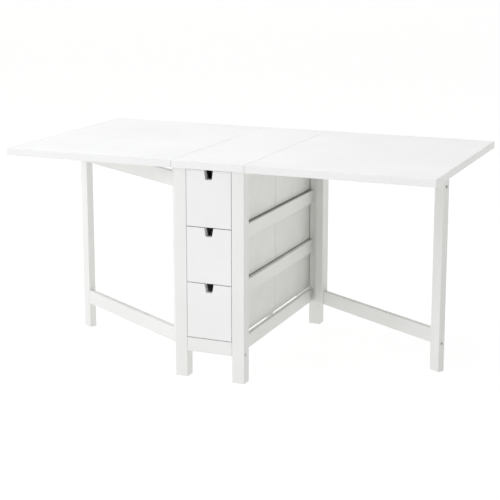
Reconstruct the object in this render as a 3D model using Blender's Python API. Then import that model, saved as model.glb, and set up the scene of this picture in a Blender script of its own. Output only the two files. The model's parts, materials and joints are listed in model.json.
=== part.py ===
"""Gateleg table: a narrow cabinet with six drawers, two drop leaves and two gates.

Units are metres, +Z is up, and the origin is on the floor under the table's centre. The table looks
the same when it is turned half round, so each piece is placed in one half's frame: the half called
"right" stands as written, and the half called "left" is the same one turned by 180 degrees. The
leaves are up and the gates are swung out under them.
"""

import math

import bpy
from mathutils import Matrix, Vector

# Driving dimensions
LENGTH, DEPTH, HEIGHT = 1.520, 0.800, 0.740
TOP_THICKNESS = 0.025
CENTRE_LENGTH = 0.260
SEAM = 0.0008  # between the centre top and a leaf
GAP = 0.0003  # between pieces that touch

POST_OUTER = Vector((0.1257, 0.3895))  # from the centre to a post's two outer faces
POST_SIZE = Vector((0.0443, 0.0415))
RAIL_HEIGHT, RAIL_THICKNESS = 0.048, 0.0151
RAIL_FEET = 0.092  # the lowest rails' height over the floor
TOP_RAIL_FEET = 0.686
CROSS_BAR_SIZE, CROSS_BAR_FOOT = 0.012, 0.119
RAIL_BELOW_DRAWER = 0.0015  # from a drawer front's lower edge to the top of the rail beside it

DRAWER_FLOORS = {"bottom": 0.1425, "middle": 0.3325, "top": 0.5225}
DRAWER_PITCH, DRAWER_GAP = 0.190, 0.0025
FRONT_WIDTH, FRONT_THICKNESS = 0.160, 0.020
TOP_FRONT_EXTRA = 0.0025  # how much taller a top drawer's front is than the others
END_RAIL_THICKNESS = 0.017
BOX_WIDTH, BOARD = 0.159, 0.012
BOX_RISE, BOX_DROP = 0.001, 0.002  # from the front's lower and upper edges to those of the sides
BASE_THICKNESS, BASE_RISE = 0.004, 0.008
BACK_END = -0.0012  # the two banks of drawers meet here, on either side of Y = 0
NOTCH_TOP, NOTCH_FOOT, NOTCH_DEPTH, NOTCH_CORNER = 0.032, 0.0245, 0.029, 0.005

RUNNER_DROP, RUNNER_HEIGHT, RUNNER_REACH = 0.018, 0.011, 0.0079
GROOVE_HEIGHT, GROOVE_DEPTH = 0.0124, 0.007

GATE_OPEN = math.radians(59.2)
GATE_REACH = 0.667  # from the pivot to the leg's outer end
GATE_THICKNESS, GATE_WIDTH = 0.0265, 0.042
GATE_RAIL_HEIGHT, GATE_RAIL_THICKNESS, GATE_RAIL_SETBACK = 0.051, 0.018, 0.0005
GATE_RAIL_FEET = {"bottom": 0.0935, "top": 0.6365}
GATE_STILE_TOP = 0.700
LEG_CLEARANCE = 0.0008  # from a leg's top to the leaf that it carries
STOP_SIZE = Vector((0.014, 0.036, 0.012))

HINGE_LENGTH, PLATE_WIDTH, PLATE_THICKNESS = 0.060, 0.022, 0.0012
KNUCKLE_RADIUS, PIN_RADIUS, BORE_RADIUS = 0.003, 0.0014, 0.0018
KNUCKLE_PLAY = 0.0002
LEAF_HINGE_REACH = 0.200  # from the table's middle to a leaf hinge's
GATE_HINGES = {"lower": 0.125, "upper": 0.655}

BOLT_HOLE_RADIUS, BOLT_HOLE_DEPTH = 0.0055, 0.012
POST_BOLT_INSET, POST_BOLT_RISE = 0.011, 0.0085  # from the end face, and from the end rail's lower edge
LEG_BOLT_RISE = 0.007  # from a gate rail's lower edge
ROUND_SIDES = 24
OVERSHOOT = 0.05  # how far a cutter runs past the face that it cuts

# Derived from the driving dimensions
UNDERSIDE = HEIGHT - TOP_THICKNESS
POST_INNER = POST_OUTER - POST_SIZE
FRONT_HEIGHT = DRAWER_PITCH - DRAWER_GAP
GATE_PIVOT = Vector((POST_OUTER.x + KNUCKLE_RADIUS + GAP, POST_INNER.y - 2 * GAP - PLATE_THICKNESS))
GATE_OUTER = POST_OUTER.x - GATE_PIVOT.x  # the closed gate's outer face, seen from its pivot
STILE_END = -2 * GAP - PLATE_THICKNESS
RUNNER_MIDDLES = [floor + FRONT_HEIGHT - RUNNER_DROP for floor in DRAWER_FLOORS.values()]

WHITE_TOP = ((0.90, 0.90, 0.88), 0.35, 0.0)
WHITE_FRAME = ((0.86, 0.86, 0.84), 0.40, 0.0)
WHITE_FRONT = ((0.88, 0.88, 0.86), 0.38, 0.0)
WHITE_BOX = ((0.80, 0.80, 0.76), 0.50, 0.0)
BASE_BOARD = ((0.78, 0.78, 0.75), 0.60, 0.0)
HINGE_STEEL = ((0.62, 0.62, 0.63), 0.30, 1.0)


def clear_scene():
    for old in list(bpy.data.objects):
        bpy.data.objects.remove(old, do_unlink=True)


def new_collection(name):
    collection = bpy.data.collections.new(name)
    bpy.context.scene.collection.children.link(collection)
    return collection


def put_in(collection, piece):
    for holder in list(piece.users_collection):
        holder.objects.unlink(piece)
    collection.objects.link(piece)


def frame(name, parent=None, place=(0, 0, 0), turn=0.0):
    """An empty that pieces are placed from, turned about Z."""
    empty = bpy.data.objects.new(name, None)
    empty.empty_display_size = 0.05
    empty.location, empty.rotation_euler.z = place, turn
    empty.parent = parent
    PIECES.objects.link(empty)
    return empty


def dress(piece, look):
    """The piece's own painted or metal surface."""
    colour, roughness, metallic = look
    material = bpy.data.materials.new(piece.name)
    material.use_nodes = True
    shader = material.node_tree.nodes["Principled BSDF"]
    shader.inputs["Base Color"].default_value = (*colour, 1)
    shader.inputs["Roughness"].default_value = roughness
    shader.inputs["Metallic"].default_value = metallic
    piece.data.materials.append(material)
    return piece


def block(name, parent, low, high, look=None):
    """A straight board between two opposite corners in its parent's frame. With no look it is a cutter."""
    low, high = Vector(low), Vector(high)
    bpy.ops.mesh.primitive_cube_add(size=1)
    piece = bpy.context.object
    piece.name = name
    piece.data.transform(Matrix.Diagonal((*(high - low), 1)))
    piece.location = (low + high) / 2
    piece.parent = parent
    return dress_or_hide(piece, look)


def rod(name, parent, centre, axis, radius, length, look=None):
    """A round bar, centred, along "X", "Y" or "Z"."""
    bpy.ops.mesh.primitive_cylinder_add(vertices=ROUND_SIDES, radius=radius, depth=length)
    piece = bpy.context.object
    piece.name = name
    turn = {"X": ("Y", math.pi / 2), "Y": ("X", math.pi / 2), "Z": ("Z", 0.0)}[axis]
    piece.data.transform(Matrix.Rotation(turn[1], 4, turn[0]))
    piece.location = centre
    piece.parent = parent
    return dress_or_hide(piece, look)


def dress_or_hide(piece, look):
    if look:
        put_in(PIECES, piece)
        return dress(piece, look)
    put_in(CUTTERS, piece)
    piece.hide_render = True
    piece.display_type = "WIRE"
    return piece


def bolt_hole(name, parent, mouth, axis):
    return rod(f"{name}_bolt_hole", parent, mouth, axis, BOLT_HOLE_RADIUS, 2 * BOLT_HOLE_DEPTH)


def combine(piece, operation, *others):
    for other in others:
        modifier = piece.modifiers.new(other.name, "BOOLEAN")
        modifier.operation, modifier.solver, modifier.object = operation, "EXACT", other
    return piece


def arc(centre, radius, start, end, steps=4):
    """Points on part of a circle, with the angles in degrees."""
    angles = [math.radians(start + (end - start) * i / steps) for i in range(steps + 1)]
    return [(centre[0] + radius * math.cos(a), centre[1] + radius * math.sin(a)) for a in angles]


# The cabinet


def make_posts(half, side, ends):
    """The half's two posts. ends names the one at -Y, then the one at +Y."""
    for end, sign in zip(ends, (-1, 1)):
        near, far = sorted((sign * POST_INNER.y, sign * POST_OUTER.y))
        name = f"post_{end}_{side}"
        head = (POST_OUTER.x, far, UNDERSIDE - GAP)
        post = block(name, half, (POST_INNER.x, near, 0), head, WHITE_FRAME)
        mouth = (POST_OUTER.x, sign * (POST_OUTER.y - POST_BOLT_INSET), RAIL_FEET + POST_BOLT_RISE)
        combine(post, "DIFFERENCE", bolt_hole(name, half, mouth, "X"))


def make_side_rails(half, side):
    """Four rails between the posts. Each of the upper three carries a runner strip on its inner face."""
    inner, outer = POST_INNER.x, POST_INNER.x + RAIL_THICKNESS
    reach = POST_INNER.y - GAP
    lower_top = DRAWER_FLOORS["middle"] - RAIL_BELOW_DRAWER
    upper_top = DRAWER_FLOORS["top"] - RAIL_BELOW_DRAWER
    spans = {
        "bottom": (RAIL_FEET, RAIL_FEET + RAIL_HEIGHT),
        "lower": (lower_top - RAIL_HEIGHT, lower_top),
        "upper": (upper_top - RAIL_HEIGHT, upper_top),
        "top": (TOP_RAIL_FEET, UNDERSIDE - GAP),
    }
    runner_middles = dict(zip(("lower", "upper", "top"), RUNNER_MIDDLES))
    for place, (low, high) in spans.items():
        name = f"side_rail_{side}_{place}"
        rail = block(name, half, (inner, -reach, low), (outer, reach, high), WHITE_FRAME)
        if place in runner_middles:
            foot = runner_middles[place] - RUNNER_HEIGHT / 2
            near = (inner - RUNNER_REACH, 2 * GAP - reach, foot)
            far = ((inner + outer) / 2, reach - 2 * GAP, foot + RUNNER_HEIGHT)
            combine(rail, "UNION", block(f"{name}_runner", half, near, far))


def make_end_rail(half, end):
    reach = POST_INNER.x - GAP
    low = (-reach, -POST_OUTER.y, RAIL_FEET)
    high = (reach, END_RAIL_THICKNESS - POST_OUTER.y, RAIL_FEET + RAIL_HEIGHT)
    block(f"end_rail_{end}", half, low, high, WHITE_FRAME)


def make_cross_bar():
    """The bar that ties the two lowest side rails together at mid-depth, under the drawers."""
    reach, half = POST_INNER.x - GAP, CROSS_BAR_SIZE / 2
    low, high = (-reach, -half, CROSS_BAR_FOOT), (reach, half, CROSS_BAR_FOOT + CROSS_BAR_SIZE)
    block("cross_bar", None, low, high, WHITE_FRAME)


def make_top_center():
    reach = (CENTRE_LENGTH - SEAM) / 2
    block("top_center", None, (-reach, -DEPTH / 2, UNDERSIDE), (reach, DEPTH / 2, HEIGHT), WHITE_TOP)


# The drawers


def front_outline(height):
    """A drawer front seen from outside: a rectangle with a finger notch in its upper edge."""
    half, depth = FRONT_WIDTH / 2, FRONT_HEIGHT - NOTCH_DEPTH
    foot = NOTCH_FOOT / 2 - NOTCH_CORNER
    slope = math.degrees(math.atan2((NOTCH_TOP - NOTCH_FOOT) / 2, NOTCH_DEPTH))
    right = arc((foot, depth + NOTCH_CORNER), NOTCH_CORNER, -90, -slope)
    left = [(-x, y) for x, y in reversed(right)]
    corners = [(half, 0), (half, height), (NOTCH_TOP / 2, height)]
    mirrored = [(-x, y) for x, y in reversed(corners)]
    return corners + right[::-1] + left[::-1] + mirrored


def make_drawer_front(name, slide, height):
    """The outline stood up on its lower edge and given the front's thickness."""
    curve = bpy.data.curves.new(name, "CURVE")
    curve.dimensions, curve.fill_mode, curve.extrude = "2D", "BOTH", FRONT_THICKNESS / 2
    outline = front_outline(height)
    spline = curve.splines.new("POLY")
    spline.points.add(len(outline) - 1)
    for point, (x, y) in zip(spline.points, outline):
        point.co = (x, y, 0, 1)
    spline.use_cyclic_u = True
    piece = bpy.data.objects.new(name, curve)
    piece.location = (0, FRONT_THICKNESS / 2 - POST_OUTER.y, 0)
    piece.rotation_euler.x = math.pi / 2
    piece.parent = slide
    PIECES.objects.link(piece)
    dress(piece, WHITE_FRONT)


def make_drawer_box(name, slide):
    """The two sides and the back, with a runner groove along each side."""
    start = FRONT_THICKNESS + GAP - POST_OUTER.y
    low, high = BOX_RISE, FRONT_HEIGHT - BOX_DROP
    half = BOX_WIDTH / 2
    box = block(name, slide, (-half, start, low), (half, BACK_END, high), WHITE_BOX)
    room_low = (BOARD - half, start - OVERSHOOT, low - OVERSHOOT)
    room_high = (half - BOARD, BACK_END - BOARD, high + OVERSHOOT)
    combine(box, "DIFFERENCE", block(f"{name}_room", slide, room_low, room_high))
    middle = FRONT_HEIGHT - RUNNER_DROP
    foot, head = middle - GROOVE_HEIGHT / 2, middle + GROOVE_HEIGHT / 2
    for side, sign in (("left", -1), ("right", 1)):
        near, far = sorted((sign * (half - GROOVE_DEPTH), sign * (half + OVERSHOOT)))
        groove_low, groove_high = (near, start - OVERSHOOT, foot), (far, BACK_END + OVERSHOOT, head)
        combine(box, "DIFFERENCE", block(f"{name}_groove_{side}", slide, groove_low, groove_high))


def make_drawer_base(name, slide):
    half = BOX_WIDTH / 2 - BOARD - GAP
    start, end = FRONT_THICKNESS + 2 * GAP - POST_OUTER.y, BACK_END - BOARD - GAP
    low = BOX_RISE + BASE_RISE
    block(name, slide, (-half, start, low), (half, end, low + BASE_THICKNESS), BASE_BOARD)


def make_drawers(half, end):
    """A bank of three drawers that slide out towards the half's -Y."""
    for place, floor in DRAWER_FLOORS.items():
        slide = frame(f"drawer_{end}_{place}", half, (0, 0, floor))
        height = FRONT_HEIGHT + (TOP_FRONT_EXTRA if place == "top" else 0)
        make_drawer_front(f"drawer_{end}_{place}_front", slide, height)
        make_drawer_box(f"drawer_{end}_{place}_box", slide)
        make_drawer_base(f"drawer_{end}_{place}_base", slide)


# Hinges


def hinge_plate(name, parent, place, turn, offset, facing, carries_pin):
    """One half of a butt hinge with its pin along local Z and its plate towards local -X.

    offset is the plate's distance from the pin's axis, and facing the side (+1 or -1 along Y) that it
    is on. The half that carries the pin has the two outer knuckles, and the other has the middle one.
    """
    half, third = HINGE_LENGTH / 2, HINGE_LENGTH / 6
    if carries_pin:
        spans = [(-half, -third - KNUCKLE_PLAY), (third + KNUCKLE_PLAY, half)]
    else:
        spans = [(KNUCKLE_PLAY - third, third - KNUCKLE_PLAY)]
    near, far = sorted((facing * offset, facing * (offset + PLATE_THICKNESS)))
    edge = -KNUCKLE_RADIUS - 2 * GAP
    plate = block(name, parent, (-PLATE_WIDTH, near, -half), (edge, far, half), HINGE_STEEL)
    plate.data.transform(Matrix.Translation(plate.location))
    plate.location, plate.rotation_euler = place, turn
    for low, high in spans:
        knuckle = rod(f"{name}_knuckle", plate, (0, 0, (low + high) / 2), "Z", KNUCKLE_RADIUS, high - low)
        bridge = block(f"{name}_bridge", plate, (edge - 0.001, near, low), (-PIN_RADIUS / 2, far, high))
        combine(plate, "UNION", knuckle, bridge)
    if carries_pin:
        pin = rod(f"{name}_pin", plate, (0, 0, 0), "Z", PIN_RADIUS, HINGE_LENGTH - 0.002)
        combine(plate, "UNION", pin)
    else:
        bore = rod(f"{name}_bore", plate, (0, 0, 0), "Z", BORE_RADIUS, HINGE_LENGTH)
        combine(plate, "DIFFERENCE", bore)


# The leaves


def make_leaf(half, side, ends):
    """A leaf with the block that stops its gate, and its two hinges under the seam."""
    seam = (CENTRE_LENGTH + SEAM) / 2
    leaf = frame(f"leaf_{side}_pivot", half, (CENTRE_LENGTH / 2, 0, UNDERSIDE - GAP - KNUCKLE_RADIUS))
    low = Vector((seam, -DEPTH / 2, UNDERSIDE)) - leaf.location
    high = Vector((LENGTH / 2, DEPTH / 2, HEIGHT)) - leaf.location
    panel = block(f"leaf_{side}", leaf, low, high, WHITE_TOP)
    along = Vector((math.sin(GATE_OPEN), -math.cos(GATE_OPEN)))
    across = Vector((math.cos(GATE_OPEN), math.sin(GATE_OPEN)))
    stop = block(f"leaf_{side}_stop", leaf, -STOP_SIZE / 2, STOP_SIZE / 2)
    clearance = LEG_CLEARANCE + STOP_SIZE.x / 2
    middle = GATE_PIVOT + along * (GATE_REACH - GATE_WIDTH / 2) + across * (GATE_OUTER + clearance)
    sunk = STOP_SIZE.z / 2 - GAP
    stop.location = Vector((*middle, UNDERSIDE - sunk)) - leaf.location
    stop.rotation_euler.z = GATE_OPEN
    combine(panel, "UNION", stop)
    offset = KNUCKLE_RADIUS - PLATE_THICKNESS
    for end, y in zip(ends, (-LEAF_HINGE_REACH, LEAF_HINGE_REACH)):
        pin = leaf.location + Vector((0, y, 0))
        name = f"leaf_hinge_{side}_{end}"
        hinge_plate(f"{name}_fixed", half, pin, (math.pi / 2, 0, 0), offset, 1, True)
        hinge_plate(f"{name}_moving", leaf, (0, y, 0), (math.pi / 2, 0, math.pi), offset, 1, False)


# The gates


def make_gate(half, side):
    """A gate in its closed place, seen from its pivot, then swung out by turning the pivot's frame."""
    pivot = frame(f"gate_{side}_pivot", half, (*GATE_PIVOT, 0), GATE_OPEN)
    outer, inner = GATE_OUTER, GATE_OUTER - GATE_THICKNESS
    stile_low = (inner, STILE_END - GATE_WIDTH, GATE_RAIL_FEET["bottom"])
    block(f"gate_{side}_stile", pivot, stile_low, (outer, STILE_END, GATE_STILE_TOP), WHITE_FRAME)
    leg_high = (outer, GATE_WIDTH - GATE_REACH, UNDERSIDE - LEG_CLEARANCE)
    leg = block(f"gate_{side}_leg", pivot, (inner, -GATE_REACH, 0), leg_high, WHITE_FRAME)
    face = outer - GATE_RAIL_SETBACK
    start, end = GATE_WIDTH + GAP - GATE_REACH, STILE_END - GATE_WIDTH - GAP
    for place, foot in GATE_RAIL_FEET.items():
        low = (face - GATE_RAIL_THICKNESS, start, foot)
        name = f"gate_{side}_{place}_rail"
        block(name, pivot, low, (face, end, foot + GATE_RAIL_HEIGHT), WHITE_FRAME)
        mouth = ((inner + outer) / 2, -GATE_REACH, foot + LEG_BOLT_RISE)
        combine(leg, "DIFFERENCE", bolt_hole(name, pivot, mouth, "Y"))
    for place, z in GATE_HINGES.items():
        name = f"gate_hinge_{side}_{place}"
        hinge_plate(f"{name}_post", half, (*GATE_PIVOT, z), (0, 0, 0), GAP, 1, True)
        hinge_plate(f"{name}_gate", pivot, (0, 0, z), (0, 0, 0), GAP, -1, False)


clear_scene()
PIECES = new_collection("gateleg_table")
CUTTERS = new_collection("cutters")
CUTTERS.hide_render = True
make_top_center()
make_cross_bar()
for side, ends, turn in (("right", ("front", "back"), 0.0), ("left", ("back", "front"), math.pi)):
    half = frame(f"half_{side}", turn=turn)
    make_posts(half, side, ends)
    make_side_rails(half, side)
    make_end_rail(half, ends[0])
    make_drawers(half, ends[0])
    make_leaf(half, side, ends)
    make_gate(half, side)
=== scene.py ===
"""The looks of a white gateleg table: painted boards, steel hinges, screws and bolts.

Units are metres and +Z is up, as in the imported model. The CAD nodes keep their shapes and get rounded
edges and finishes. The drawer boxes are rebuilt board by board, and the screws and bolts are added.
The boards' places, the gates' angle and the hinges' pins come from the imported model.
"""

import json
import math

import bmesh
import bpy
from mathutils import Matrix, Vector


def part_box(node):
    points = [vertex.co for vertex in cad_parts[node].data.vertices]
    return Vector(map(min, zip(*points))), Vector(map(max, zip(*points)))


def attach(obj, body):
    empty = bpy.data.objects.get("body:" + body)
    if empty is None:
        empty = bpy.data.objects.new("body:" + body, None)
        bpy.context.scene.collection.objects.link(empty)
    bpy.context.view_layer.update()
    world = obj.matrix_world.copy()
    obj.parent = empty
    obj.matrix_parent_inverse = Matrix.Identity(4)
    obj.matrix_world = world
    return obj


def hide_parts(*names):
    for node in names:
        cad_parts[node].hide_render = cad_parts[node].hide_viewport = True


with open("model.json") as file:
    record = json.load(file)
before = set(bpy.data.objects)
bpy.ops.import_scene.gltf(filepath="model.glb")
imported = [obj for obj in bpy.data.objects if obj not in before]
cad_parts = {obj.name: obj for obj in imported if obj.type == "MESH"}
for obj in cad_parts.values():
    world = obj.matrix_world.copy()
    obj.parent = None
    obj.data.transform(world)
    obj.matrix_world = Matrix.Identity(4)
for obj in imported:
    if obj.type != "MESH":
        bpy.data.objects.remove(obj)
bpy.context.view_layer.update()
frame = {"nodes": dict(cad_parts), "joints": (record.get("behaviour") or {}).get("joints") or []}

SIDES = {"right": 1, "left": -1}  # the side of the cabinet, and its sign along X
ENDS = {"front": -1, "back": 1}  # the bank of drawers, and its sign along Y
PLACES = ("bottom", "middle", "top")
X, Y, Z = Vector((1, 0, 0)), Vector((0, 1, 0)), Vector((0, 0, 1))
MM = 0.001
TOUCH = 0.01 * MM  # points closer than this to a plane lie on it

# Edge roundings
TOP_EDGE, POST_EDGE, RAIL_EDGE, FRONT_EDGE = 1.2 * MM, 2.0 * MM, 1.5 * MM, 1.0 * MM
BOX_EDGE, BASE_EDGE, STEEL_EDGE, SCREW_EDGE = 0.7 * MM, 0.3 * MM, 0.15 * MM, 0.08 * MM
EDGE_SEGMENTS = 3
SHARP = math.radians(35)  # an edge that turns more than this is rounded
FLAT = math.radians(1)  # faces that turn less than this are joined into one
WELD_REACH = 0.001 * MM

# Drawer boxes
BOARD = 12 * MM
GROOVE_DROP, GROOVE_HEIGHT, GROOVE_DEPTH = 16 * MM, 12.4 * MM, 7 * MM  # the drop is from the box's top
JOINT_GAP = 0.1 * MM

# Screws and bolts
TURNS = 24  # points round a screw, which fall on the corners of its cross and of a bolt's hexagon
HEAD_RADIUS, HEAD_DEPTH, SHANK_RADIUS, SCREW_LENGTH = 2.9 * MM, 1.5 * MM, 1.4 * MM, 12 * MM
RIM, RIM_DROP, TIP_RADIUS, TIP_LENGTH = 0.15 * MM, 0.03 * MM, 0.3 * MM, 2.5 * MM
CROSS_ARM, CROSS_WIDTH, CROSS_DEPTH = 1.7 * MM, 0.455 * MM, 1.0 * MM
CROSS_TAPER = (0.7, 0.6)  # of its arm and its width, down to its floor
CROSS_ROOM = 1.25  # from the cross's arm to the ring of points round it
SINK_RADIUS, SINK_PLAY = 3.1 * MM, 0.2 * MM
SINK_DROP = 0.02 * MM  # from the surface to where the sink is widest
PLATE_SCREWS = ((-21 * MM, 14.5 * MM), (0, 11 * MM), (21 * MM, 14.5 * MM))  # along and out from the pin
STOP_SCREW_REACH = 10 * MM
BOLT_RADIUS, BOLT_SUNK, BOLT_FOOT, BOLT_CHAMFER = 5.1 * MM, 1.2 * MM, 11.6 * MM, 0.5 * MM
SOCKET_REACH, SOCKET_DEPTH, SOCKET_CHAMFER = 2.5 * MM, 3.5 * MM, 0.2 * MM
POST_BOLT_INSET, BOLT_RISE, LEG_BOLT_RISE = 11 * MM, 8.5 * MM, 7 * MM

# Camera
CAMERA_PLACE = (1.7458, -4.1908, 1.4762)
CAMERA_TURN, CAMERA_PITCH = 22.815, 11.638
LENS, SENSOR, SHIFT = 94.37, 36.0, -0.10

# Studio
FLOOR_REACH, FLOOR_TURNS = 60.0, 64
FLOOR_TONE, FLOOR_GLOW, FLOOR_ROUGHNESS = 0.20, 0.85, 0.8
SKY_GLOW = 0.40
BACKDROPS = ((Y, 1.0), (-X, 1.0))  # the way to each bright backdrop, and its glow at the horizon
BACKDROP_FADE = 3.0  # how steeply a backdrop fades upwards
BOUNCES = 10  # enough for the gaps between white boards
LIGHTS = {  # place, size and watts
    "key": ((-3.5, -3.5, 3.5), 2.5, 86),
    "overhead": ((-0.5, -0.5, 5.0), 3.0, 118),
    "front": ((-0.5, -5.5, 2.0), 3.0, 36),
}
SKY_COLOUR, LIGHT_COLOUR = (1.0, 1.0, 0.965, 1), (0.935, 0.940, 1.0)
AIM = Vector((0, 0, 0.4))

# Colours
LACQUER, LACQUER_SHADE = (0.832, 0.832, 0.824), (0.806, 0.806, 0.796)
PAINT, PAINT_SHADE = (0.812, 0.815, 0.794), (0.776, 0.779, 0.756)
FOIL, FOIL_SHADE = (0.800, 0.804, 0.779), (0.754, 0.758, 0.731)
HARDBOARD, HARDBOARD_SHADE = (0.790, 0.788, 0.770), (0.722, 0.718, 0.698)
ZINC, ZINC_SHADE = (0.66, 0.67, 0.69), (0.50, 0.51, 0.53)
BOLT_ZINC, BOLT_ZINC_SHADE = (0.66, 0.66, 0.67), (0.52, 0.52, 0.53)
NOISE_LOW, NOISE_HIGH = 0.3, 0.7  # most of a noise lies between these
SHADE_AT, COLOUR_AT = 0.34, 0.62  # the tones that get the shade and the full colour
ROUGHNESS_SPREAD = 0.12  # a share of the roughness, either way


# Shader nodes


def add(tree, kind, inputs=None, **settings):
    """A shader node. An input given as another node's output is linked, and any other is set."""
    node = tree.nodes.new("ShaderNode" + kind)
    for name, value in settings.items():
        setattr(node, name, value)
    for name, value in (inputs or {}).items():
        if isinstance(value, bpy.types.NodeSocket):
            tree.links.new(value, node.inputs[name])
        else:
            node.inputs[name].default_value = value
    return node


def new_material(name, **inputs):
    """A material, its node tree and its main shader, with the shader's plain values set."""
    material = bpy.data.materials.new(name)
    material.use_nodes = True
    shader = material.node_tree.nodes["Principled BSDF"]
    for socket, value in inputs.items():
        shader.inputs[socket.replace("_", " ")].default_value = value
    return material, material.node_tree, shader


def object_place(tree):
    return add(tree, "TexCoord").outputs["Object"]


def drawn_out(tree, along, stretch):
    """Object coordinates with their X along the board, and drawn out that way."""
    turn = along.to_track_quat("X", "Z").inverted().to_euler()
    turned = add(tree, "Mapping", {"Vector": object_place(tree), "Rotation": turn}).outputs["Vector"]
    return add(tree, "Mapping", {"Vector": turned, "Scale": (1 / stretch, 1, 1)}).outputs["Vector"]


def noise(tree, place, scale, detail=3.0, roughness=0.5, distortion=0.0):
    inputs = {"Vector": place, "Scale": scale, "Detail": detail, "Roughness": roughness}
    return add(tree, "TexNoise", {**inputs, "Distortion": distortion}).outputs["Fac"]


def remap(tree, value, low, high):
    """Spreads a noise from low to high."""
    inputs = {"Value": value, "From Min": NOISE_LOW, "From Max": NOISE_HIGH, "To Min": low, "To Max": high}
    return add(tree, "MapRange", inputs).outputs["Result"]


def mix_values(tree, first, second, share):
    inputs = {"A": first, "B": second, "Factor": share}
    return add(tree, "Mix", inputs).outputs["Result"]


def ramp(tree, value, dark, light):
    node = add(tree, "ValToRGB", {"Fac": value})
    for element, position, colour in zip(node.color_ramp.elements, (SHADE_AT, COLOUR_AT), (dark, light)):
        element.position, element.color = position, (*colour, 1)
    return node.outputs["Color"]


def bump(tree, height, distance, strength, under=None):
    inputs = {"Height": height, "Distance": distance, "Strength": strength}
    if under:
        inputs["Normal"] = under
    return add(tree, "Bump", inputs).outputs["Normal"]


def calculate(tree, operation, *values):
    """A sum or the like of numbers. vectors() does the same for vectors."""
    return add(tree, "Math", dict(enumerate(values)), operation=operation).outputs[0]


def vectors(tree, operation, *values):
    return add(tree, "VectorMath", dict(enumerate(values)), operation=operation).outputs["Vector"]


def surface(tree, shader, tone, colours, roughness, normal):
    """The tone picks the colour, and darker spots are a little rougher."""
    light, dark = colours
    spread = ROUGHNESS_SPREAD * roughness
    tree.links.new(ramp(tree, tone, dark, light), shader.inputs["Base Color"])
    rough = remap(tree, tone, roughness + spread, roughness - spread)
    tree.links.new(rough, shader.inputs["Roughness"])
    tree.links.new(normal, shader.inputs["Normal"])


# Materials


def painted_wood(name, along):
    """Solid wood under satin paint: pores and growth rings show faintly along the board."""
    material, tree, shader = new_material(name, Specular_IOR_Level=0.45)
    plain, drawn = object_place(tree), drawn_out(tree, along, stretch=16)
    pores = noise(tree, drawn, scale=420, detail=4, roughness=0.62)
    rings = noise(tree, drawn, scale=55, detail=3, distortion=0.35)
    brushing = noise(tree, plain, scale=9, detail=4)
    peel = noise(tree, plain, scale=380, detail=2)
    tone = mix_values(tree, mix_values(tree, pores, rings, share=0.45), brushing, share=0.35)
    grooves = bump(tree, pores, distance=0.10 * MM, strength=0.45)
    normal = bump(tree, peel, distance=0.04 * MM, strength=0.35, under=grooves)
    surface(tree, shader, tone, (PAINT, PAINT_SHADE), 0.42, normal)
    return material


def lacquered_board(name, roughness):
    """Sprayed lacquer on a smooth board: fine orange peel, and a slow drift in tone and sheen."""
    material, tree, shader = new_material(name, Specular_IOR_Level=0.5)
    plain = object_place(tree)
    drift = noise(tree, plain, scale=4.5, detail=5, roughness=0.55)
    specks = noise(tree, plain, scale=160)
    peel = noise(tree, plain, scale=330, detail=2)
    tone = mix_values(tree, drift, specks, share=0.30)
    normal = bump(tree, peel, distance=0.06 * MM, strength=0.35)
    surface(tree, shader, tone, (LACQUER, LACQUER_SHADE), roughness, normal)
    return material


def foil(name, along):
    """Printed foil on a drawer board: a short embossed grain along it."""
    material, tree, shader = new_material(name, Specular_IOR_Level=0.4)
    plain, drawn = object_place(tree), drawn_out(tree, along, stretch=22)
    emboss = noise(tree, drawn, scale=620, roughness=0.7)
    drift = noise(tree, plain, scale=14)
    tone = mix_values(tree, emboss, drift, share=0.5)
    normal = bump(tree, emboss, distance=0.10 * MM, strength=0.5)
    surface(tree, shader, tone, (FOIL, FOIL_SHADE), 0.50, normal)
    return material


def hardboard(name):
    """Painted hardboard: matted fibres and a pebbled face."""
    material, tree, shader = new_material(name, Specular_IOR_Level=0.3)
    plain = object_place(tree)
    fibres = noise(tree, plain, scale=240, detail=5, roughness=0.7, distortion=1.2)
    drift = noise(tree, plain, scale=20)
    tone = mix_values(tree, fibres, drift, share=0.4)
    normal = bump(tree, fibres, distance=0.2 * MM, strength=0.5)
    surface(tree, shader, tone, (HARDBOARD, HARDBOARD_SHADE), 0.68, normal)
    return material


def steel(name, colours, roughness):
    """Plated steel: cloudy plating, and hair scratches that run both ways."""
    material, tree, shader = new_material(name, Metallic=1.0)
    cloud = noise(tree, object_place(tree), scale=170, detail=4)
    rising = noise(tree, drawn_out(tree, X + Z, stretch=30), scale=1500, detail=2)
    falling = noise(tree, drawn_out(tree, X - Z, stretch=30), scale=1900, detail=2)
    scratches = mix_values(tree, rising, falling, share=0.5)
    tone = mix_values(tree, cloud, scratches, share=0.4)
    normal = bump(tree, scratches, distance=0.02 * MM, strength=0.4)
    surface(tree, shader, tone, colours, roughness, normal)
    return material


# The CAD nodes


def middle(name):
    low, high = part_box(name)
    return (low + high) / 2


def edge_group(name, turn=None):
    """A modifier group that shades every face smooth, which the weighted normals need.

    With a turn, it also marks for the bevel the edges along the outline of the box round the piece.
    The box is turned that far about Z. Bolt holes and runner strips then keep their sharp edges.
    """
    group = bpy.data.node_groups.new(name, "GeometryNodeTree")
    for way in ("INPUT", "OUTPUT"):
        group.interface.new_socket("Geometry", in_out=way, socket_type="NodeSocketGeometry")
    source, result = group.nodes.new("NodeGroupInput"), group.nodes.new("NodeGroupOutput")
    shade = group.nodes.new("GeometryNodeSetShadeSmooth")
    group.links.new(source.outputs[0], shade.inputs["Geometry"])
    shape = shade.outputs["Geometry"]
    if turn is not None:
        shape = mark_edges(group, shape, on_outline(group, shape, turn))
    group.links.new(shape, result.inputs[0])
    return group


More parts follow.
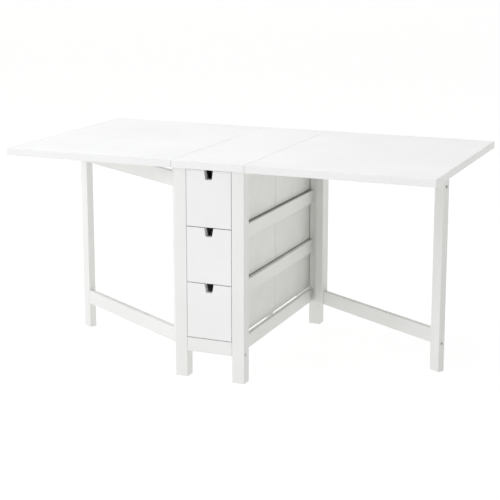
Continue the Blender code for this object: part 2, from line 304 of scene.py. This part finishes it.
def on_outline(group, shape, turn):
    """Is 1 for an edge whose middle lies on two or more faces of the box, and 0 for any other."""
    place = group.nodes.new("GeometryNodeInputPosition").outputs["Position"]
    inputs = {"Vector": place, "Angle": -turn}
    turned = add(group, "VectorRotate", inputs, rotation_type="Z_AXIS").outputs["Vector"]
    extent = group.nodes.new("GeometryNodeAttributeStatistic")
    extent.data_type = "FLOAT_VECTOR"
    group.links.new(shape, extent.inputs["Geometry"])
    group.links.new(turned, shown(extent.inputs, "Attribute"))
    corners = [shown(extent.outputs, name) for name in ("Min", "Max")]
    gaps = [vectors(group, "ABSOLUTE", vectors(group, "SUBTRACT", turned, corner)) for corner in corners]
    gap = add(group, "SeparateXYZ", {"Vector": vectors(group, "MINIMUM", *gaps)})
    touching = [calculate(group, "LESS_THAN", socket, TOUCH) for socket in gap.outputs]
    count = calculate(group, "ADD", calculate(group, "ADD", *touching[:2]), touching[2])
    return calculate(group, "GREATER_THAN", count, 1.5)


def shown(sockets, name):
    """The socket of that name that the node's settings leave in use."""
    return next(socket for socket in sockets if socket.name == name and socket.enabled)


def mark_edges(group, shape, weight):
    store = group.nodes.new("GeometryNodeStoreNamedAttribute")
    store.data_type, store.domain = "FLOAT", "EDGE"
    store.inputs["Name"].default_value = "bevel_weight_edge"
    group.links.new(shape, store.inputs["Geometry"])
    group.links.new(weight, store.inputs["Value"])
    return store.outputs["Geometry"]


def round_edges(piece, width, cutters=(), group=None):
    """Makes flat faces whole, rounds the edges that the group marks, and sinks the cutters in.

    Without a group, every sharp edge is rounded, as far as its neighbours leave room.
    """
    piece.modifiers.new("weld", "WELD").merge_threshold = WELD_REACH
    whole = piece.modifiers.new("whole_faces", "DECIMATE")
    whole.decimate_type, whole.angle_limit = "DISSOLVE", FLAT
    piece.modifiers.new("edges", "NODES").node_group = group or SMOOTH
    bevel = piece.modifiers.new("round_edges", "BEVEL")
    bevel.width, bevel.segments, bevel.angle_limit = width, EDGE_SEGMENTS, SHARP
    bevel.limit_method = "WEIGHT" if group else "ANGLE"
    bevel.use_clamp_overlap, bevel.loop_slide = not group, False
    for cutter in cutters:
        sink = piece.modifiers.new("sink", "BOOLEAN")
        sink.operation, sink.solver, sink.object = "DIFFERENCE", "EXACT", cutter
    flat = piece.modifiers.new("flat_faces", "WEIGHTED_NORMAL")
    flat.mode, flat.weight, flat.keep_sharp = "FACE_AREA", 100, False


def finish(name, material, edge, cutters=(), group=None):
    """Gives a CAD node its material and its rounded edges."""
    node = frame["nodes"][name]
    for slot in node.material_slots:
        slot.material = material
    round_edges(node, edge, cutters, group)


# Meshes


def new_piece(name, mesh, material, body):
    """An object from a bmesh, with the finish that it is given, riding on a body."""
    data = bpy.data.meshes.new(name)
    bmesh.ops.recalc_face_normals(mesh, faces=mesh.faces)
    mesh.to_mesh(data)
    mesh.free()
    data.materials.append(material)
    piece = bpy.data.objects.new(name, data)
    bpy.context.scene.collection.objects.link(piece)
    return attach(piece, body)


def add_rings(mesh, rings, place):
    """A closed body through rings of points, from its foot to its innermost ring."""
    loops = []
    for radius_at, height in rings:
        loop = []
        for i in range(TURNS):
            angle = 2 * math.pi * i / TURNS
            radius = radius_at(angle)
            point = Vector((radius * math.cos(angle), radius * math.sin(angle), height))
            loop.append(mesh.verts.new(place @ point))
        loops.append(loop)
    for low, high in zip(loops, loops[1:]):
        for i in range(TURNS):
            j = (i + 1) % TURNS
            mesh.faces.new((low[i], low[j], high[j], high[i]))
    mesh.faces.new(loops[0][::-1])
    mesh.faces.new(loops[-1])


def circle(radius):
    return lambda angle: radius


def hexagon(reach):
    """The reach is from the middle to a flat."""
    third = math.pi / 3
    return lambda angle: reach / math.cos((angle + third / 2) % third - third / 2)


def cross(arm, width):
    """A plus sign. The width is half an arm's."""
    quarter = math.pi / 2

    def radius(angle):
        off = abs((angle + quarter / 2) % quarter - quarter / 2)
        return min(arm / math.cos(off), width / max(math.sin(off), 1e-6))

    return radius


# Each ring is the radius at an angle, and the height above the surface.
SCREW = [
    (circle(TIP_RADIUS), -SCREW_LENGTH),
    (circle(SHANK_RADIUS), TIP_LENGTH - SCREW_LENGTH),
    (circle(SHANK_RADIUS), -HEAD_DEPTH),
    (circle(HEAD_RADIUS), -RIM),
    (circle(HEAD_RADIUS - RIM), -RIM_DROP),
    (circle(CROSS_ARM * CROSS_ROOM), 0),
    (cross(CROSS_ARM, CROSS_WIDTH), 0),
    (cross(CROSS_TAPER[0] * CROSS_ARM, CROSS_TAPER[1] * CROSS_WIDTH), -CROSS_DEPTH),
]
SINK = [
    (circle(SHANK_RADIUS), -HEAD_DEPTH - SINK_PLAY),
    (circle(SINK_RADIUS), -SINK_DROP),
    (circle(SINK_RADIUS), SINK_PLAY),
]
BOLT = [
    (circle(BOLT_RADIUS), -BOLT_FOOT),
    (circle(BOLT_RADIUS), -BOLT_SUNK - BOLT_CHAMFER),
    (circle(BOLT_RADIUS - BOLT_CHAMFER), -BOLT_SUNK),
    (hexagon(SOCKET_REACH + SOCKET_CHAMFER), -BOLT_SUNK),
    (hexagon(SOCKET_REACH), -BOLT_SUNK - SOCKET_CHAMFER),
    (hexagon(SOCKET_REACH), -BOLT_SUNK - SOCKET_DEPTH),
]


def pointing(place, way):
    """A frame at a place with its Z towards a way."""
    return Matrix.Translation(place) @ way.to_track_quat("Z", "Y").to_matrix().to_4x4()


def make_screws(name, places, body, profile=SCREW, look=None):
    """Screws, or anything else with a profile of rings, at some places on one body."""
    mesh = bmesh.new()
    for place in places:
        add_rings(mesh, profile, place)
    piece = new_piece(name, mesh, look or FINISH["screw"], body)
    round_edges(piece, SCREW_EDGE)
    return piece


def make_sinks(name, places, body):
    """The hidden cutter that sinks the screws' heads into a surface."""
    cutter = make_screws(name, places, body, SINK)
    cutter.modifiers.clear()
    cutter.hide_render = cutter.hide_viewport = True
    return cutter


# Hinges


def plate_frame(pin, pin_way, plate_way):
    """A frame on a hinge's pin: its Z along the pin, and its X out along the plate."""
    across = pin_way.cross(plate_way)
    return Matrix.Translation(pin) @ Matrix((plate_way, across, pin_way)).transposed().to_4x4()


def finish_hinge(name, body, pin, pin_way, plate_way):
    """A hinge plate with three countersunk screws. pin lies on the pin's line, level with anything."""
    pin = pin + pin_way * (middle(name) - pin).dot(pin_way)
    local = plate_frame(pin, pin_way, plate_way)
    corners = [local.inverted() @ v.co for v in frame["nodes"][name].data.vertices]
    edge = max(c.x for c in corners)
    face = min((c.y for c in corners if c.x > edge - TOUCH), key=abs)
    outward = Y if face < 0 else -Y
    places = [local @ pointing(Vector((out, face, along)), outward) for along, out in PLATE_SCREWS]
    sinks = make_sinks(f"{name}_sinks", places, body)
    finish(name, FINISH["zinc"], STEEL_EDGE, [sinks])
    make_screws(f"{name}_screws", places, body)


def finish_hinges():
    joints = {joint["name"]: joint for joint in frame["joints"]}
    for side, sign in SIDES.items():
        leaf_pin = Vector(joints[f"leaf_{side}_drop"]["pos_m"])
        gate_pin = Vector(joints[f"gate_{side}_swing"]["pos_m"])
        for end in ENDS:
            name = f"leaf_hinge_{side}_{end}"
            finish_hinge(f"{name}_fixed", "cabinet", leaf_pin, Y, -sign * X)
            finish_hinge(f"{name}_moving", f"leaf_{side}", leaf_pin, Y, sign * X)
        for place in ("lower", "upper"):
            name = f"gate_hinge_{side}_{place}"
            finish_hinge(f"{name}_post", "cabinet", gate_pin, Z, -sign * X)
            finish_hinge(f"{name}_gate", f"gate_{side}", gate_pin, Z, -sign * GATE_FACING)


# Boards


def finish_tops():
    finish("top_center", FINISH["top"], TOP_EDGE)
    for side in SIDES:
        foot, reach = stop_foot(side), STOP_SCREW_REACH * GATE_ALONG
        places = [pointing(foot - reach, -Z), pointing(foot + reach, -Z)]
        sinks = make_sinks(f"stop_{side}_sinks", places, f"leaf_{side}")
        finish(f"leaf_{side}", FINISH["top"], TOP_EDGE, [sinks])
        make_screws(f"stop_{side}_screws", places, f"leaf_{side}")


def stop_foot(side):
    """The middle of the lower face of the block that stops a gate, which is the leaf's lowest face."""
    points = [v.co for v in frame["nodes"][f"leaf_{side}"].data.vertices]
    lowest = min(p.z for p in points)
    foot = [p for p in points if p.z < lowest + TOUCH]
    return Vector([(min(p[i] for p in foot) + max(p[i] for p in foot)) / 2 for i in range(3)])


def finish_cabinet():
    for end, end_sign in ENDS.items():
        finish(f"end_rail_{end}", FINISH["along_x"], RAIL_EDGE)
        for side, sign in SIDES.items():
            name = f"post_{end}_{side}"
            finish(name, FINISH["upright"], POST_EDGE, group=OUTLINE)
            low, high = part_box(name)
            face = high.x if sign > 0 else low.x
            edge = high.y if end_sign > 0 else low.y
            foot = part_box(f"end_rail_{end}")[0].z
            mouth = Vector((face, edge - end_sign * POST_BOLT_INSET, foot + BOLT_RISE))
            make_screws(f"{name}_bolt", [pointing(mouth, sign * X)], "cabinet", BOLT, FINISH["bolt"])
    for side in SIDES:
        for place in ("bottom", "lower", "upper", "top"):
            finish(f"side_rail_{side}_{place}", FINISH["along_y"], RAIL_EDGE, group=OUTLINE)
    finish("cross_bar", FINISH["along_x"], RAIL_EDGE)


def finish_gates():
    for side, sign in SIDES.items():
        body = f"gate_{side}"
        finish(f"{body}_stile", FINISH["gate_upright"], POST_EDGE, group=GATE_OUTLINE)
        finish(f"{body}_leg", FINISH["gate_upright"], POST_EDGE, group=GATE_OUTLINE)
        end = leg_end(side, sign)
        places = []
        for place in ("bottom", "top"):
            name = f"{body}_{place}_rail"
            finish(name, FINISH["gate_rail"], RAIL_EDGE)
            mouth = Vector((end.x, end.y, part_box(name)[0].z + LEG_BOLT_RISE))
            places.append(pointing(mouth, sign * GATE_ALONG))
        make_screws(f"{body}_bolts", places, body, BOLT, FINISH["bolt"])


def leg_end(side, sign):
    """The middle of a gate leg's outer end face."""
    name, way = f"gate_{side}_leg", sign * GATE_ALONG
    reach = max(way.dot(v.co) for v in frame["nodes"][name].data.vertices)
    return middle(name) + way * (reach - way.dot(middle(name)))


# Drawers


def make_board(name, outline, run, material, body, stood_for):
    """A board from an outline of points, drawn out along a run."""
    mesh = bmesh.new()
    face = mesh.faces.new([mesh.verts.new(point) for point in outline])
    made = bmesh.ops.extrude_face_region(mesh, geom=[face])["geom"]
    bmesh.ops.translate(mesh, vec=run, verts=[v for v in made if isinstance(v, bmesh.types.BMVert)])
    board = new_piece(name, mesh, material, body)
    round_edges(board, BOX_EDGE)
    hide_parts(stood_for)


def side_outline(outer, inner, groove, near, low, high):
    """A drawer side's end: a rectangle with the runner's groove in its outer face."""
    foot, top = high - GROOVE_DROP - GROOVE_HEIGHT / 2, high - GROOVE_DROP + GROOVE_HEIGHT / 2
    steps = [(outer, low), (outer, foot), (groove, foot), (groove, top)]
    steps += [(outer, top), (outer, high), (inner, high), (inner, low)]
    return [(x, near, z) for x, z in steps]


def make_drawer_box(body, end_sign):
    """The two sides and the back of a drawer, as separate boards."""
    node = f"{body}_box"
    low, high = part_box(node)
    length = Vector((0, high.y - low.y, 0))
    for side, sign in SIDES.items():
        outer = sign * high.x
        inner, groove = outer - sign * BOARD, outer - sign * GROOVE_DEPTH
        outline = side_outline(outer, inner, groove, low.y, low.z, high.z)
        make_board(f"{body}_side_{side}", outline, length, FINISH["foil_y"], body, node)
    reach = high.x - BOARD - JOINT_GAP
    near = low.y if end_sign > 0 else high.y - BOARD
    corners = ((-reach, low.z), (reach, low.z), (reach, high.z), (-reach, high.z))
    outline = [(x, near, z) for x, z in corners]
    make_board(f"{body}_back", outline, Vector((0, BOARD, 0)), FINISH["foil_x"], body, node)


def finish_drawers():
    for end, end_sign in ENDS.items():
        for place in PLACES:
            body = f"drawer_{end}_{place}"
            finish(f"{body}_front", FINISH["front"], FRONT_EDGE)
            finish(f"{body}_base", FINISH["hardboard"], BASE_EDGE)
            make_drawer_box(body, end_sign)


# Studio


def make_floor():
    """A pale floor that glows softly. It shows from above only, so that the underside can be seen."""
    mesh = bmesh.new()
    bmesh.ops.create_circle(mesh, cap_ends=True, segments=FLOOR_TURNS, radius=FLOOR_REACH)
    data = bpy.data.meshes.new("floor")
    mesh.to_mesh(data)
    mesh.free()
    floor = bpy.data.objects.new("floor", data)
    bpy.context.scene.collection.objects.link(floor)
    material, tree, shader = new_material(
        "studio_floor",
        Base_Color=(FLOOR_TONE, FLOOR_TONE, FLOOR_TONE, 1),
        Roughness=FLOOR_ROUGHNESS,
        Emission_Color=(1, 1, 1, 1),
        Emission_Strength=FLOOR_GLOW,
    )
    below = tree.nodes.new("ShaderNodeNewGeometry").outputs["Backfacing"]
    clear = add(tree, "BsdfTransparent").outputs["BSDF"]
    sides = add(tree, "MixShader", {"Fac": below, 1: shader.outputs["BSDF"], 2: clear})
    tree.links.new(sides.outputs["Shader"], tree.nodes["Material Output"].inputs["Surface"])
    data.materials.append(material)


def make_lights():
    """Soft lamps that no surface mirrors, so that none of them burns out the top from any side."""
    for name, (place, size, power) in LIGHTS.items():
        light = bpy.data.lights.new(name, "AREA")
        light.shape, light.size, light.energy, light.color = "SQUARE", size, power, LIGHT_COLOUR
        lamp = bpy.data.objects.new(name, light)
        lamp.matrix_world = pointing(Vector(place), Vector(place) - AIM)
        lamp.visible_glossy = False
        bpy.context.scene.collection.objects.link(lamp)


def make_sky():
    """Even light from all round, and bright backdrops that fade upwards."""
    world = bpy.data.worlds.new("studio")
    world.use_nodes = True
    tree = world.node_tree
    way = add(tree, "TexCoord").outputs["Generated"]
    height = calculate(tree, "MAXIMUM", add(tree, "SeparateXYZ", {"Vector": way}).outputs["Z"], 0.0)
    low = calculate(tree, "POWER", calculate(tree, "SUBTRACT", 1.0, height), BACKDROP_FADE)
    glow = SKY_GLOW
    for backdrop, strength in BACKDROPS:
        product = add(tree, "VectorMath", {0: way, 1: backdrop}, operation="DOT_PRODUCT")
        facing = product.outputs["Value"]
        share = calculate(tree, "MULTIPLY", low, calculate(tree, "MAXIMUM", facing, 0.0))
        glow = calculate(tree, "MULTIPLY_ADD", share, strength, glow)
    background = tree.nodes["Background"]
    background.inputs["Color"].default_value = SKY_COLOUR
    tree.links.new(glow, background.inputs["Strength"])
    bpy.context.scene.world = world


def make_camera():
    camera = bpy.data.objects.new("camera", bpy.data.cameras.new("camera"))
    camera.data.sensor_width, camera.data.lens, camera.data.shift_y = SENSOR, LENS, SHIFT
    camera.location = CAMERA_PLACE
    camera.rotation_euler = (math.radians(90 - CAMERA_PITCH), 0, math.radians(CAMERA_TURN))
    bpy.context.scene.collection.objects.link(camera)
    bpy.context.scene.camera = camera


# The scene


bpy.context.scene.view_settings.view_transform = "Standard"  # keeps white surfaces white
bpy.context.scene.cycles.diffuse_bounces = BOUNCES
make_camera()
make_floor()
make_lights()
make_sky()

GATE_ALONG = (middle("gate_right_leg") - middle("gate_right_stile")) * Vector((1, 1, 0))
GATE_ALONG.normalize()
GATE_FACING = Z.cross(GATE_ALONG)
SMOOTH = edge_group("shade_smooth")
OUTLINE = edge_group("mark_outline", 0.0)
GATE_OUTLINE = edge_group("mark_gate_outline", math.atan2(GATE_ALONG.y, GATE_ALONG.x))
FINISH = {
    "top": lacquered_board("top_lacquer_sprayed", 0.34),
    "front": lacquered_board("drawer_front_lacquer_sprayed", 0.38),
    "upright": painted_wood("frame_paint_upright", Z),
    "along_x": painted_wood("frame_paint_along_x", X),
    "along_y": painted_wood("frame_paint_along_y", Y),
    "gate_upright": painted_wood("gate_paint_upright", Z),
    "gate_rail": painted_wood("gate_paint_rail", GATE_ALONG),
    "foil_x": foil("drawer_foil_along_x", X),
    "foil_y": foil("drawer_foil_along_y", Y),
    "hardboard": hardboard("drawer_base_hardboard"),
    "zinc": steel("hinge_zinc", (ZINC, ZINC_SHADE), 0.32),
    "screw": steel("screw_zinc", (ZINC, ZINC_SHADE), 0.26),
    "bolt": steel("bolt_zinc", (BOLT_ZINC, BOLT_ZINC_SHADE), 0.38),
}
finish_tops()
finish_cabinet()
finish_gates()
finish_drawers()
finish_hinges()
